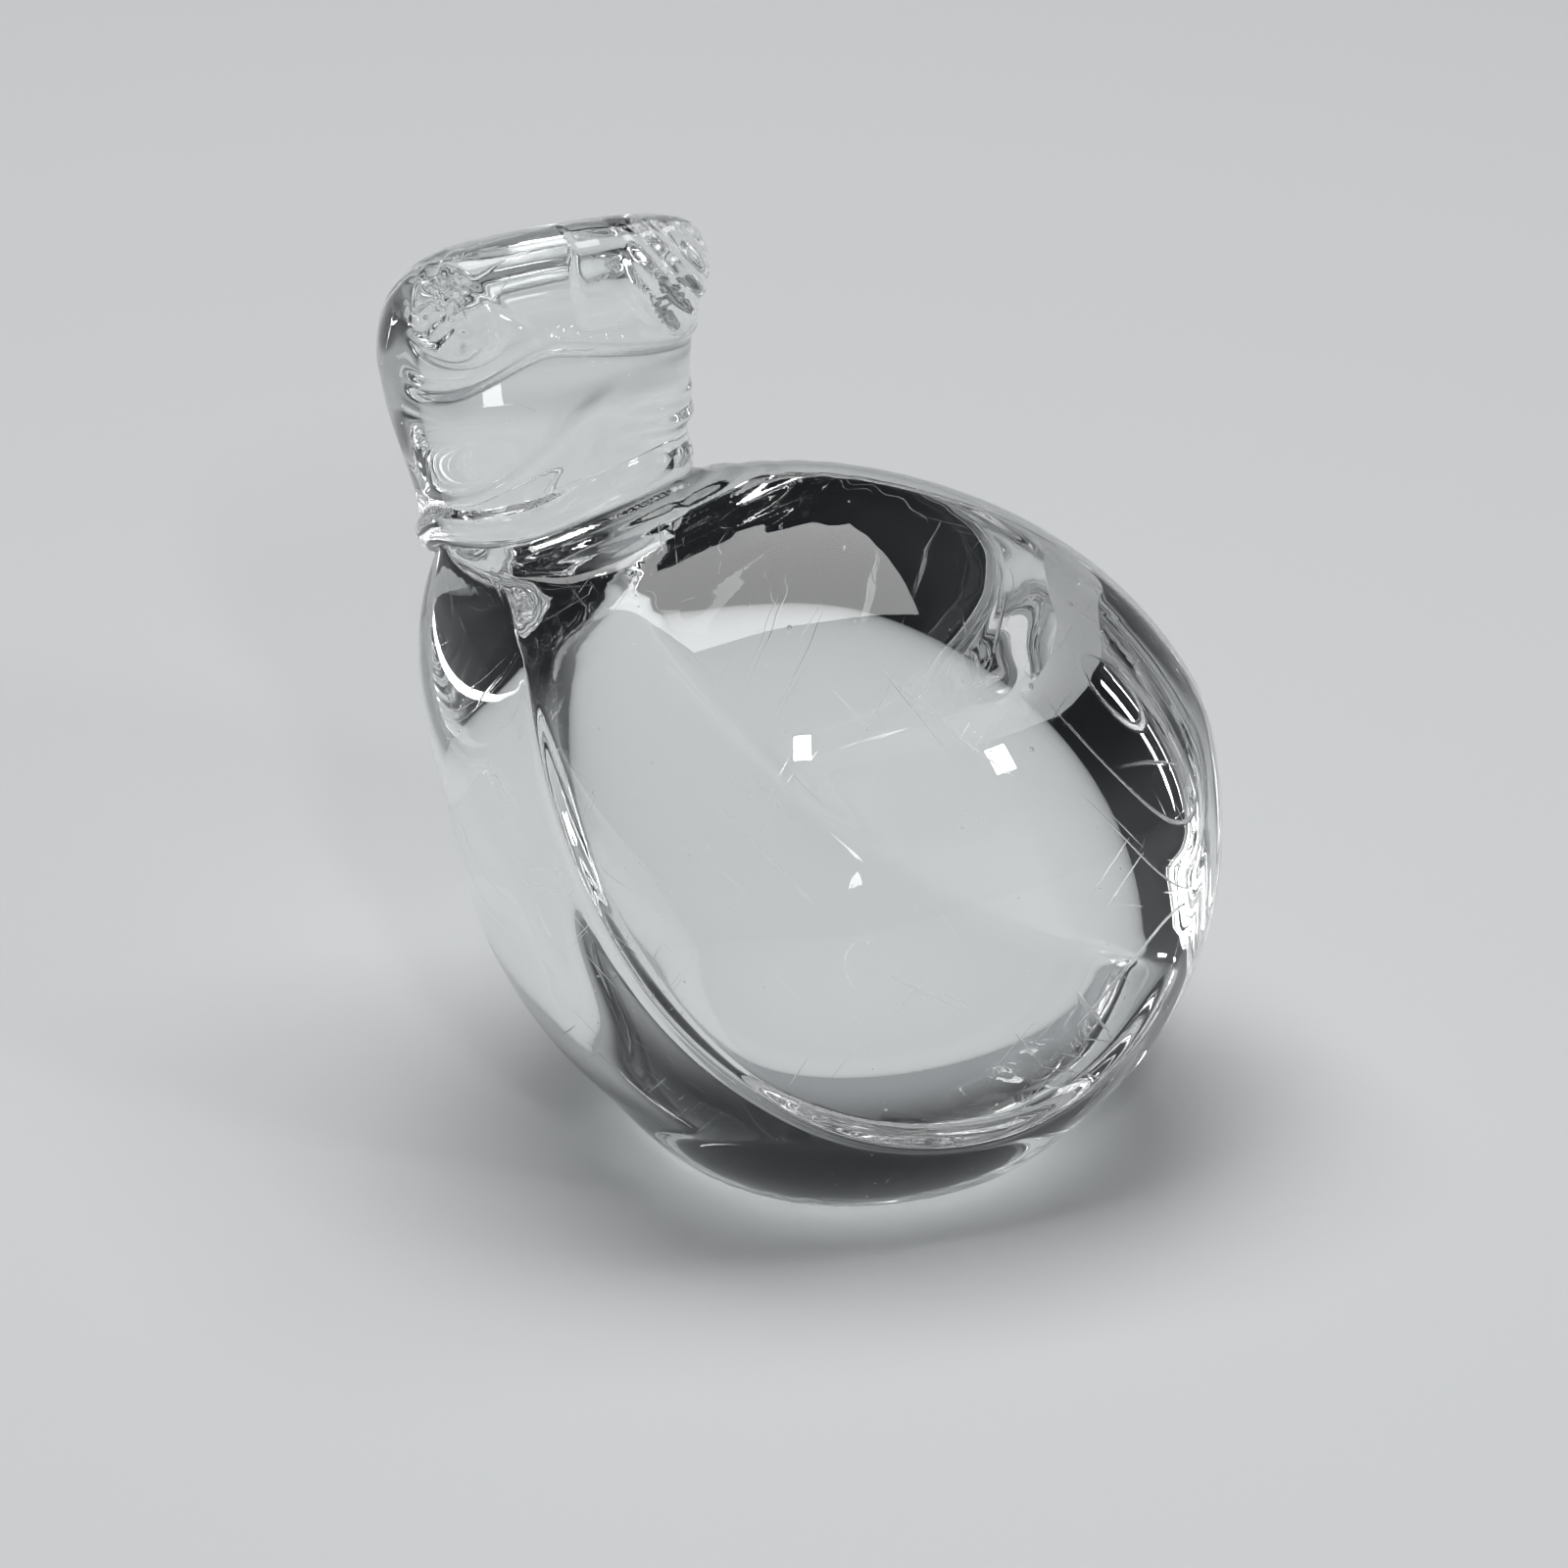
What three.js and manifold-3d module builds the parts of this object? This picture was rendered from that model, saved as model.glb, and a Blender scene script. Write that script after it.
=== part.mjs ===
// Solid crystal cat paperweight, in millimetres, +Z up.
// The origin is the centre of the ground base face. The chest faces -X and the head is turned to look to +Y.
import * as THREE from 'three';
import { mergeVertices } from 'three/addons/utils/BufferGeometryUtils.js';
import Module from 'manifold-3d';

// Rim ellipsoid of the body: half axes, lean of the long axis from the vertical to -X, and centre
const RIM_LONG = 39;
const RIM_SHORT = 35;
const RIM_DEEP = 36;
const RIM_LEAN = 29;
const RIM_X = -3;
const RIM_Z = 33.4;

// Flank ellipsoid that cuts the two broad side faces and leaves the ridge between them and the chest
const FLANK_LONG = 48.2;
const FLANK_TALL = 42.2;
const FLANK_DEEP = 32;
const FLANK_LEAN = 23.5;
const FLANK_X = -12.4;
const FLANK_Z = 21.3;

// Throat swelling below the neck
const THROAT_X = -27.4;
const THROAT_Z = 49;
const THROAT_HALF_X = 13.9;
const THROAT_HALF_Y = 13;
const THROAT_HALF_Z = 19;
const THROAT_TOP_Z = 60;
const THROAT_TOP_BLEND = 2;

// Haunch, the fuller lower part that the ground base is cut in
const HAUNCH_X = -1.6;
const HAUNCH_Z = 12;
const HAUNCH_HALF_X = 24;
const HAUNCH_HALF_Y = 27;
const HAUNCH_HALF_Z = 18;

// Middle that the body is measured from, softness of the ridge and of the swell into the throat
const HEART_X = -8;
const HEART_Z = 32;
const RIDGE_BLEND = 0.8;
const THROAT_BLEND = 6;
const HAUNCH_BLEND = 2.5;

// Joints between the gathers of glass
const COLLAR_THICK = 2.4;
const COLLAR_PROUD = 0.7;
const SEAL_GAP = 0.35;

// Head block and neck, turned about the vertical
const HEAD_TURN = 22;
const HEAD_X = -29.6;
const HEAD_Y = 6;
const HEAD_TOP_Z = 88.4;
const HEAD_TALL = 12.4;
const HEAD_HALF_WIDE = 14.5;
const HEAD_HALF_DEEP = 10.4;
const NECK_FOOT_Z = 50;
const CORNER_POWER = 2.8;
const LOFT_SIDES = 48;
const LOFT_ROWS = 26;

// Ears: the notch they sit in, as walls from the middle of the head and depth below its top
const EAR_INNER = 6;
const EAR_FRONT = 3.2;
const EAR_SEAT_DEPTH = 7.4;

// Lobe that forms the tip of an ear, set in from the side of the head and below its top
const EAR_INSET = 4.8;
const EAR_BACK = 5;
const EAR_DROP = 4;
const EAR_HALF_WIDE = 4.3;
const EAR_HALF_DEEP = 4.2;
const EAR_HALF_TALL = 5.6;
const EAR_LEAN = 12;

// Dish pressed into the back of each ear
const DISH_DEPTH = 1.5;
const DISH_HALF_WIDE = 2.8;
const DISH_HALF_DEEP = 3.1;
const DISH_HALF_TALL = 3.9;

// Reach of the cutting blocks, past every side of the figure
const FAR = 4 * RIM_LONG;

const wasm = await Module();
wasm.setup();

const rad = THREE.MathUtils.degToRad;
const turnX = Math.cos(rad(HEAD_TURN));
const turnY = Math.sin(rad(HEAD_TURN));

function toSolid(geometry) {
  const bare = geometry.clone();
  bare.deleteAttribute('normal');
  bare.deleteAttribute('uv');
  const merged = mergeVertices(bare, 1e-4);
  const mesh = new wasm.Mesh({
    numProp: 3,
    vertProperties: new Float32Array(merged.attributes.position.array),
    triVerts: new Uint32Array(merged.index.array),
  });
  mesh.merge();
  return new wasm.Manifold(mesh);
}

function toMesh(solid, name) {
  const result = solid.getMesh();
  const geometry = new THREE.BufferGeometry();
  geometry.setAttribute('position', new THREE.BufferAttribute(new Float32Array(result.vertProperties), 3));
  geometry.setIndex(Array.from(result.triVerts));
  geometry.computeVertexNormals();
  const material = new THREE.MeshStandardMaterial({ color: 0xdfe6e8, roughness: 0.05, metalness: 0 });
  material.name = 'crystal';
  const mesh = new THREE.Mesh(geometry, material);
  mesh.name = name;
  return mesh;
}

function block(x0, x1, y0, y1, z0, z1) {
  const geometry = new THREE.BoxGeometry(x1 - x0, y1 - y0, z1 - z0);
  geometry.translate((x0 + x1) / 2, (y0 + y1) / 2, (z0 + z1) / 2);
  return geometry;
}

// A block given along the turned axes of the head, about the middle of the head
function headBlock(a0, a1, b0, b1, z0, z1) {
  const geometry = block(a0, a1, b0, b1, z0, z1);
  geometry.rotateZ(rad(HEAD_TURN));
  geometry.translate(HEAD_X, HEAD_Y, 0);
  return toSolid(geometry);
}

function headPoint(a, b) {
  return [HEAD_X + turnX * a - turnY * b, HEAD_Y + turnY * a + turnX * b];
}

// Cubic blend through the stations of a loft, each given as [height, value, value, ...]
function stationAt(stations, height) {
  let k = 0;
  while (k < stations.length - 2 && height > stations[k + 1][0]) k += 1;
  const before = stations[Math.max(k - 1, 0)];
  const low = stations[k];
  const high = stations[k + 1];
  const after = stations[Math.min(k + 2, stations.length - 1)];
  const t = (height - low[0]) / (high[0] - low[0]);
  return low.map((value, i) => {
    const slopeLow = (high[i] - before[i]) / (high[0] - before[0]) * (high[0] - low[0]);
    const slopeHigh = (after[i] - value) / (after[0] - low[0]) * (high[0] - low[0]);
    const t2 = t * t;
    const t3 = t2 * t;
    return (2 * t3 - 3 * t2 + 1) * value + (t3 - 2 * t2 + t) * slopeLow
      + (3 * t2 - 2 * t3) * high[i] + (t3 - t2) * slopeHigh;
  });
}

const rounded = (value) => Math.sign(value) * Math.abs(value) ** (2 / CORNER_POWER);

// A cylinder whose rows are reshaped into rounded rectangles by the stations:
// height, shift in X, half width, half depth, shift in depth, and slope of the row down to the face
function loft(stations, grow = 0) {
  const geometry = new THREE.CylinderGeometry(1, 1, 1, LOFT_SIDES, LOFT_ROWS);
  const position = geometry.attributes.position;
  const bottom = stations[0][0];
  const top = stations[stations.length - 1][0];
  for (let i = 0; i < position.count; i += 1) {
    const height = bottom + (position.getY(i) + 0.5) * (top - bottom);
    const radius = Math.hypot(position.getX(i), position.getZ(i));
    const angle = Math.atan2(-position.getZ(i), position.getX(i));
    const [, shift, halfWide, halfDeep, forward, slope] = stationAt(stations, height);
    const a = radius * (halfWide + grow) * rounded(Math.cos(angle));
    const b = radius * (halfDeep + grow) * rounded(Math.sin(angle)) + forward;
    const [x, y] = headPoint(a, b);
    position.setXYZ(i, x + shift, y, height - slope * b);
  }
  return toSolid(geometry);
}

// Rows of the neck and of the head block, as shares: height, then shift in X and half width as shares of
// the half width, half depth and shift in depth as shares of the half depth, and slope
const neckRows = [
  [0, 0.15, 0.55, 0.48, 0, 0],
  [0.175, 0.11, 0.77, 0.73, 0, 0],
  [0.31, 0.075, 0.855, 0.83, 0, 0],
  [0.46, 0.04, 0.875, 0.855, 0.01, 0],
  [0.65, -0.005, 0.905, 0.865, 0.03, 0],
  [0.85, -0.04, 0.93, 0.885, 0.075, 0.02],
];
const blockRows = [
  [0, -0.04, 0.98, 1, 0.095, 0.08],
  [0.4, -0.015, 1, 0.98, 0.085, 0.2],
  [0.685, 0, 0.98, 0.885, 0.02, 0.32],
  [0.885, 0, 0.88, 0.69, -0.075, 0.38],
  [1, 0, 0.72, 0.42, -0.135, 0.4],
];

function stationsOf(rows, low, high) {
  return rows.map(([share, shift, wide, deep, forward, slope]) => [
    low + share * (high - low),
    shift * HEAD_HALF_WIDE,
    wide * HEAD_HALF_WIDE,
    deep * HEAD_HALF_DEEP,
    forward * HEAD_HALF_DEEP,
    slope,
  ]);
}

const chinZ = HEAD_TOP_Z - HEAD_TALL;
const headStations = [...stationsOf(neckRows, NECK_FOOT_Z, chinZ), ...stationsOf(blockRows, chinZ, HEAD_TOP_Z)];

// Body: a sphere pushed out to the rim and flank ellipsoids and the throat, whichever rules in each direction
function reach(direction, shape) {
  const lean = rad(shape.lean);
  const along = (v) => [
    (v.x * Math.cos(lean) + v.z * Math.sin(lean)) / shape.halfX,
    v.y / shape.halfY,
    (v.z * Math.cos(lean) - v.x * Math.sin(lean)) / shape.halfZ,
  ];
  const d = along(direction);
  const s = along({ x: HEART_X - shape.x, y: 0, z: HEART_Z - shape.z });
  const dd = d[0] * d[0] + d[1] * d[1] + d[2] * d[2];
  const ds = d[0] * s[0] + d[1] * s[1] + d[2] * s[2];
  const ss = s[0] * s[0] + s[1] * s[1] + s[2] * s[2] - 1;
  const root = ds * ds - dd * ss;
  return root > 0 ? (Math.sqrt(root) - ds) / dd : 0;
}

function softLess(a, b, blend) {
  const h = Math.max(blend - Math.abs(a - b), 0) / blend;
  return Math.min(a, b) - h * h * blend / 4;
}

function ellipsoid(halfX, halfY, halfZ, x, z, lean = 0) {
  return { halfX, halfY, halfZ, x, z, lean };
}

const rim = ellipsoid(RIM_SHORT, RIM_DEEP, RIM_LONG, RIM_X, RIM_Z, RIM_LEAN);
const flank = ellipsoid(FLANK_LONG, FLANK_DEEP, FLANK_TALL, FLANK_X, FLANK_Z, FLANK_LEAN);
const throat = ellipsoid(THROAT_HALF_X, THROAT_HALF_Y, THROAT_HALF_Z, THROAT_X, THROAT_Z);
const haunch = ellipsoid(HAUNCH_HALF_X, HAUNCH_HALF_Y, HAUNCH_HALF_Z, HAUNCH_X, HAUNCH_Z);

function bodySize(direction) {
  const egg = softLess(reach(direction, rim), reach(direction, flank), RIDGE_BLEND);
  const plateau = direction.z > 0.1 ? (THROAT_TOP_Z - HEART_Z) / direction.z : FAR;
  const column = softLess(reach(direction, throat), plateau, THROAT_TOP_BLEND);
  const pear = -softLess(-egg, -column, THROAT_BLEND);
  return -softLess(-pear, -reach(direction, haunch), HAUNCH_BLEND);
}

function bodyGrown(grow) {
  const ball = new THREE.SphereGeometry(1, 80, 48);
  const position = ball.attributes.position;
  const direction = new THREE.Vector3();
  for (let i = 0; i < position.count; i += 1) {
    direction.fromBufferAttribute(position, i).normalize();
    const size = bodySize(direction) + grow;
    position.setXYZ(i, HEART_X + size * direction.x, size * direction.y, HEART_Z + size * direction.z);
  }
  return toSolid(ball);
}

const belowBase = toSolid(block(-FAR, FAR, -FAR, FAR, -FAR, 0));
const body = bodyGrown(0).subtract(belowBase);

// Collar: the rolled foot of the neck, lying on the body
const neckRoll = loft(headStations, COLLAR_PROUD);
const collarOuter = bodyGrown(SEAL_GAP + COLLAR_THICK);
const collar = neckRoll.intersect(collarOuter).subtract(bodyGrown(SEAL_GAP));

// Head, less a notch for each ear
const headWhole = loft(headStations).subtract(bodyGrown(2 * SEAL_GAP + COLLAR_THICK));

function notch(side, gap) {
  const inner = EAR_INNER - gap;
  const a0 = side > 0 ? inner : -FAR;
  const a1 = side > 0 ? FAR : -inner;
  return headBlock(a0, a1, -FAR, EAR_FRONT + gap, HEAD_TOP_Z - EAR_SEAT_DEPTH - gap, FAR);
}

const head = headWhole.subtract(notch(1, SEAL_GAP)).subtract(notch(-1, SEAL_GAP));

// Ear: the corner of the head block with a pinched lobe, and a dish in its back
function ear(side) {
  const lobe = new THREE.SphereGeometry(1, 24, 16);
  lobe.rotateX(Math.PI / 2);
  lobe.scale(EAR_HALF_WIDE, EAR_HALF_DEEP, EAR_HALF_TALL);
  lobe.rotateY(rad(EAR_LEAN * side));
  const lobeOut = HEAD_HALF_WIDE - EAR_INSET;
  lobe.translate(lobeOut * side, -EAR_BACK, HEAD_TOP_Z - EAR_DROP);
  const dish = new THREE.SphereGeometry(1, 20, 14);
  dish.rotateX(Math.PI / 2);
  dish.scale(DISH_HALF_WIDE, DISH_HALF_DEEP, DISH_HALF_TALL);
  const lobeFace = -EAR_BACK - EAR_HALF_DEEP;
  dish.translate(lobeOut * side, lobeFace + DISH_DEPTH - DISH_HALF_DEEP, HEAD_TOP_Z - EAR_DROP);
  for (const shape of [lobe, dish]) {
    shape.rotateZ(rad(HEAD_TURN));
    shape.translate(HEAD_X, HEAD_Y, 0);
  }
  const corner = headWhole.add(toSolid(lobe)).intersect(notch(side, 0));
  return corner.subtract(toSolid(dish));
}

const part = new THREE.Group();
part.name = 'glass_cat_paperweight';
part.add(toMesh(body, 'body'));
part.add(toMesh(collar, 'neck_collar'));
part.add(toMesh(head, 'head'));
part.add(toMesh(ear(-1), 'ear_left'));
part.add(toMesh(ear(1), 'ear_right'));

export default part;
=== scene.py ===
"""Solid crystal cat paperweight, dressed around its frame: +Z up, chest to -X, head turned to look to +Y.
Shapes are worked out in millimetres, and set on the meshes in metres."""
import math

import bpy
import numpy as np
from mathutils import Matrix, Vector


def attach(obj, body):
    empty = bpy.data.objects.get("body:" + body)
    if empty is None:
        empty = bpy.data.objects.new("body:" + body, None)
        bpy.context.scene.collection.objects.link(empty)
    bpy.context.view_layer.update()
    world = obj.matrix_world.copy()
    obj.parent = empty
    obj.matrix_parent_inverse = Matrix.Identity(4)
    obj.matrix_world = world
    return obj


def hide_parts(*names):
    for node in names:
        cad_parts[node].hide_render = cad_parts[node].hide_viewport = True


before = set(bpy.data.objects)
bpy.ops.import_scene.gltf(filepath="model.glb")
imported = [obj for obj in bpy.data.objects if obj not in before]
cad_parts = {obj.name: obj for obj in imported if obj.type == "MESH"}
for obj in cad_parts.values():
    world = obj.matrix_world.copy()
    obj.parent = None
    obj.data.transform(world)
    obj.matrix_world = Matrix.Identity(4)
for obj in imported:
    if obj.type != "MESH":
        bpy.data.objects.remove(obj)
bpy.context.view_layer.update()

MM = 0.001
FULL_TURN = 2 * math.pi
HALVINGS = 40
SMOOTH_ANGLE = math.radians(40)

# Body: half axes in X, Y and Z, centre, and lean of the tall axis to -X, of each ellipsoid that shapes it.
# Its surface is measured out from the heart.
HEART = np.array((-8, 0, 32))
RIM = {"half": (35, 36, 39), "centre": (-3, 0, 33.4), "lean": 29}
FLANK = {"half": (48.2, 32, 42.2), "centre": (-12.4, 0, 21.3), "lean": 23.5}
THROAT = {"half": (13.9, 13, 19), "centre": (-27.4, 0, 49), "lean": 0}
HAUNCH = {"half": (24, 27, 18), "centre": (-1.6, 0, 12), "lean": 0}
THROAT_TOP_Z = 60
THROAT_TOP_BLEND = 2
THROAT_BLEND = 6
HAUNCH_BLEND = 2.5
RIDGE_BLEND = 0.3
LEAST_RISE = 0.1
FAR = 156

# Lip along the ridge: width, how far off the middle plane it is whole, and for the near (-1) and the far
# side (1) its height and the turns at which it starts, is whole, fades and ends
LIP_WIDTH = 0.42
LIP_ASIDE = 0.2
LIP_RANGES = ((-1, 0.5, np.radians((136, 148, 325, 350))), (1, 0.3, np.radians((256, 271, 273, 290))))

# Slow swells of the body: height, and the rates in X, Y and Z and the shift of each wave
SWELL_PROUD = 0.04
SWELL_WAVES = ((9.1, 0, 5.3, 0.7), (0, 8.2, -7.7, 2.1), (10.3, 6.1, 0, -1.3))

# Gather lines: half sizes of the neck at the joint, pitch, height, how far out they set in and fade, and
# where on the shoulder they start
GATHER_HALF_WIDE = 12.5
GATHER_HALF_DEEP = 9
GATHER_PITCH = 2.4
GATHER_PROUD = 0.22
GATHER_SETS_IN = 1.5
GATHER_FADE = 4
GATHER_FROM = (2, 12)

# Rows of the body mesh: the ridge lies on one of them, and they close up towards it
BODY_SEGMENTS = 360
FLANK_RINGS = 56
CHEST_RINGS = 34
FLANK_CROWDING = 1.4
CHEST_CROWDING = 1.9
RIDGE_LEAST = 0.2
RIDGE_LIMIT = math.radians(78)
RIDGE_EASE = 0.12

# Ground base: the bevel round the flat, how squarely its faces look down, and the chips along its near edge
BEVEL_TALL = 0.9
BEVEL_WIDE = 1.5
BEVEL_SLACK = 0.01
FLAT_FACES = -0.9
BEVEL_FACES = -0.3
CHIP_TALL = 0.4
CHIP_FROM_X = -17
CHIP_TO_X = -4
CHIP_WAVES = ((2.1, 0), (3.7, 1))
CHIP_LEVEL = 0.8

# Neck and head: height, shift in X, half width, half depth, shift in depth, slope of the row down to the face
HEAD_ROWS = np.array((
    (50, 2.2, 8.0, 5.0, 0, 0),
    (54.5, 1.6, 11.2, 7.6, 0, 0),
    (58, 1.1, 12.4, 8.6, 0, 0),
    (62, 0.6, 12.7, 8.9, 0.1, 0),
    (67, -0.1, 13.1, 9.0, 0.3, 0),
    (72, -0.6, 13.5, 9.2, 0.8, 0.02),
    (76, -0.6, 14.2, 10.4, 1.0, 0.08),
    (81, -0.2, 14.5, 10.2, 0.9, 0.2),
    (84.5, 0, 14.2, 9.2, 0.2, 0.32),
    (86.6, 0, 12.8, 7.2, -0.8, 0.37),
    (87.8, 0, 10.4, 4.4, -1.4, 0.38),
))
HEAD_TURN = math.radians(22)
HEAD_X = -29.6
HEAD_Y = 6
CORNER_POWER = 2.8
CROWN_RISE = 0.7
HEAD_HEART = np.array((0, 0, 77))
NECK_SEGMENTS = 256
HEAD_RINGS = 112
CROWN_RINGS = 26
CAP_RINGS = 12

# Collar: depth of its seat in the body, thickness, heights that its joints are looked for between, and the
# rolled bead round its foot, which is strongest at the chest
SEAT_DEPTH = 0.2
COLLAR_THICK = 3.4
COLLAR_RINGS = 18
JOINT_LOWEST_Z = 50.0
JOINT_HIGHEST_Z = 75.0
BEAD_PROUD = 0.9
BEAD_TALL = 4.0
BEAD_LEAST = 0.4
BEAD_MORE = 0.3
BEAD_POWER = 0.7

# Ears: walls of the notch that each sits in, and the lobe that forms it, along the turned axes of the head
EAR_INNER = 6
EAR_FRONT = 3.2
EAR_SEAT_Z = 81
EAR_OUT = 9.7
EAR_BACK = 5
EAR_MID_Z = 83.8
EAR_HALF = (4.3, 4.2, 5.3)
EAR_LEAN = 12
EAR_BLEND = 1.6
NOTCH_REACH = 39

# Sides of the head: left (-1) or right (1), middle height and spread of each place that is drawn out, how
# far, and from where across the head
SIDE_DRAWS = ((-1, 71, 5.5, 0.65), (-1, 84, 3.5, -0.85), (1, 70, 5, 0.85), (1, 81, 3, -0.55))
DRAW_FROM = (6, 12)

# Flat on the near side of the head: height and depth of its foot, ease of the foot, lean, and its wall
FLAT_FOOT_Z = 80.5
FLAT_FOOT_DEEP = -9.4
FLAT_EASE = 0.5
FLAT_LEAN = 0.22
FLAT_WALL = (0.1, 0.9)

# Tool marks: how far they stay off the collar, and how deep on the near side of the head they set in
MARKS_OFF_COLLAR = (0.3, 3)
MARKS_DEEP = (1, 5)

# Wavy ledge: height at the left cheek, climb, where it climbs, fall after it, height of the step, half of its
# width, spread, share that it loses at the sides, and where the sides are
LEDGE_Z = 75.2
LEDGE_CLIMB = 5
LEDGE_CLIMBS = (-15, -2.5)
LEDGE_FALL = 0.2
LEDGE_TALL = 1.5
LEDGE_HALF = 0.8
LEDGE_SPREAD = 6
LEDGE_LOSES = 0.75
LEDGE_SIDES = (9, 13.5)

# Roll along the ledge, and the drops on it: height, place over the ledge and half width, then pitch and range
ROLL_PROUD = 0.35
ROLL_MIDDLE = 1.3
ROLL_HALF = 0.8
DROP_PROUD = 0.12
DROP_MIDDLE = 1.5
DROP_PITCH = 1.6
DROP_RANGE = (-5, -3, 5, 8)

# Right ear: the column at its root, and its folds, with the direction that they follow one another in
COLUMN_PROUD = 0.3
COLUMN_FOOT_Z = (81.5, 83.5)
COLUMN_RANGE = (-0.6, 0.2, 2, 5)
FOLD_PROUD = 0.22
FOLD_PITCH = 1.8
FOLD_ACROSS = 0.8
FOLD_UP = 0.6
FOLD_RANGE = (4, 6.5, 11.5, 14)
FOLD_FOOT_Z = (79.5, 82)
FOLD_DEEP = (3, 7)

# Left ear: the bowl that was pinched into it, the crumple in the bowl with the rates of its waves across,
# deep and up, and the lip round the bowl with the heights at which it fades and ends
BOWL_ACROSS = -12.4
BOWL_Z = 84.8
BOWL_HALF_WIDE = 3.0
BOWL_HALF_TALL = 4.4
BOWL_DEEP = 1.9
CRUMPLE_PROUD = 0.17
CRUMPLE_WAVES = ((2.7, 0, 1.3), (1.4, 1.9, -2.4), (0, 2.6, 1.7))
BOWL_LIP_PROUD = 0.3
BOWL_LIP_MIDDLE = 1.12
BOWL_LIP_HALF = 0.12
BOWL_LIP_FADE_Z = 84
BOWL_LIP_END_Z = 86

# Crease from the left ear down to the ledge: start and run, across and up, its length, depth and range
CREASE_START = (-10.5, 87.5)
CREASE_RUN = (7, -6.5)
CREASE_LONG = 9.55
CREASE_DEEP = 0.16
CREASE_HALF = 0.4
CREASE_RANGE = (0, 1, 8.5, 9.5)

# Neck: a slanting waist, and ripples on the right
WAIST_DEEP = 0.6
WAIST_SLOPE = 0.7
WAIST_Z = 70.8
WAIST_HALF = 2
WAIST_FADE = -1
WAIST_END = 5
RIPPLE_PROUD = 0.28
RIPPLE_PITCH = 2.5
RIPPLE_SLOPE = 0.15
RIPPLE_FROM = (3, 8)
RIPPLE_Z = 67
RIPPLE_HALF = 4

# Wear: width and length of a scratch and the turns of the two sets, size of the scratched patches, pitch of
# the specks, distances from the middle plane between which rubbing sets in, and the depth of a dent
SCRATCH_WIDE = 0.2
SCRATCH_LONG = 12
SCRATCH_TURNS = ((0.35, 0.6, 0.2), (-0.4, -0.9, 0.3))
SCRATCH_LEVELS = (0.79, 0.84)
SCRATCH_PATCH = 16
PATCH_LEVELS = (0.45, 0.62)
SPECK_PITCH = 2.8
SPECK_LEVELS = (0.05, 0.035)
RUBBED_FROM = 18
RUBBED_TO = 31
RUBBED_MORE = 0.05
WORN_ROUGHNESS = 0.32
DENT_DEEP = 0.03
DENT_STRENGTH = 0.2

# Glass: refractive index, and the grain, roughness and tooth of the frost
CRYSTAL_IOR = 1.545
FROST_GRAIN = 0.3
FROST_ROUGHNESS = (0.4, 0.75)
FROST_TOOTH = 0.06
FROST_STRENGTH = 0.4

# Set, in metres: floor, room, soft boxes with place, size and power, and the camera with the width it sees
FLOOR_RADIUS = 0.7
FLOOR_SIDES = 128
FLOOR_DROP = 0.2 * MM
ROOM_FADE = 0.3
SOFT_BOXES = (
    ("top", (-0.05, 0.1, 0.9), (0.7, 0.7), 8.2),
    ("window", (0.084, -0.735, 0.61), (0.05, 0.1), 0.9),
    ("side", (0.64, -0.525, 0.46), (0.1, 0.1), 0.9),
)
BOXES_AIM = Vector((-0.008, 0, 0.035))
CAMERA_LENS = 600
CAMERA_SENSOR = 36
CAMERA_CLIP = 0.01
CAMERA_TILT = math.radians(27)
CAMERA_AIM = np.array((-7.67, 2.35, 32.6)) * MM
CAMERA_SEES = 0.1455
GLASS_BOUNCES = 24
SEAM_BOUNCES = 64


def deselect():
    if bpy.context.object and bpy.context.object.mode != "OBJECT":
        bpy.ops.object.mode_set(mode="OBJECT")
    bpy.ops.object.select_all(action="DESELECT")


def pick(piece):
    deselect()
    piece.select_set(True)
    bpy.context.view_layer.objects.active = piece


def soft_less(a, b, blend):
    h = np.maximum(blend - np.abs(a - b), 0) / blend
    return np.minimum(a, b) - h * h * blend / 4


def soft_more(a, b, blend):
    return -soft_less(-a, -b, blend)


def step(value, low, high):
    t = np.clip((value - low) / (high - low), 0, 1)
    return t * t * (3 - 2 * t)


def window(value, starts, full, fades, ends):
    return step(value, starts, full) * step(-value, -ends, -fades)


def bump(value, middle, width):
    return np.exp(-(((value - middle) / width) ** 2))


def unit(vectors):
    return vectors / np.linalg.norm(vectors, axis=1, keepdims=True)


# How far an ellipsoid reaches from a start point in each direction
def reach(directions, shape, start=HEART):
    lean = math.radians(shape["lean"])
    turn = np.array((
        (math.cos(lean), 0, math.sin(lean)),
        (0, 1, 0),
        (-math.sin(lean), 0, math.cos(lean)),
    ))
    half = np.array(shape["half"])
    d = directions @ turn.T / half
    s = turn @ (start - np.array(shape["centre"])) / half
    along = d @ s
    square = (d * d).sum(axis=1)
    root = along**2 - square * (s @ s - 1)
    return np.where(root > 0, (np.sqrt(np.maximum(root, 0)) - along) / square, 0)


# A thin lip stands along the ridge, all round the near side and for a short way on the far side
def lip(directions, apart):
    turn = np.arctan2(directions[:, 2], directions[:, 0]) % FULL_TURN
    stands = 0
    for side, proud, turns in LIP_RANGES:
        stands = stands + proud * step(side * directions[:, 1], 0, LIP_ASIDE) * window(turn, *turns)
    return bump(apart, 0, LIP_WIDTH) * stands


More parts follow.
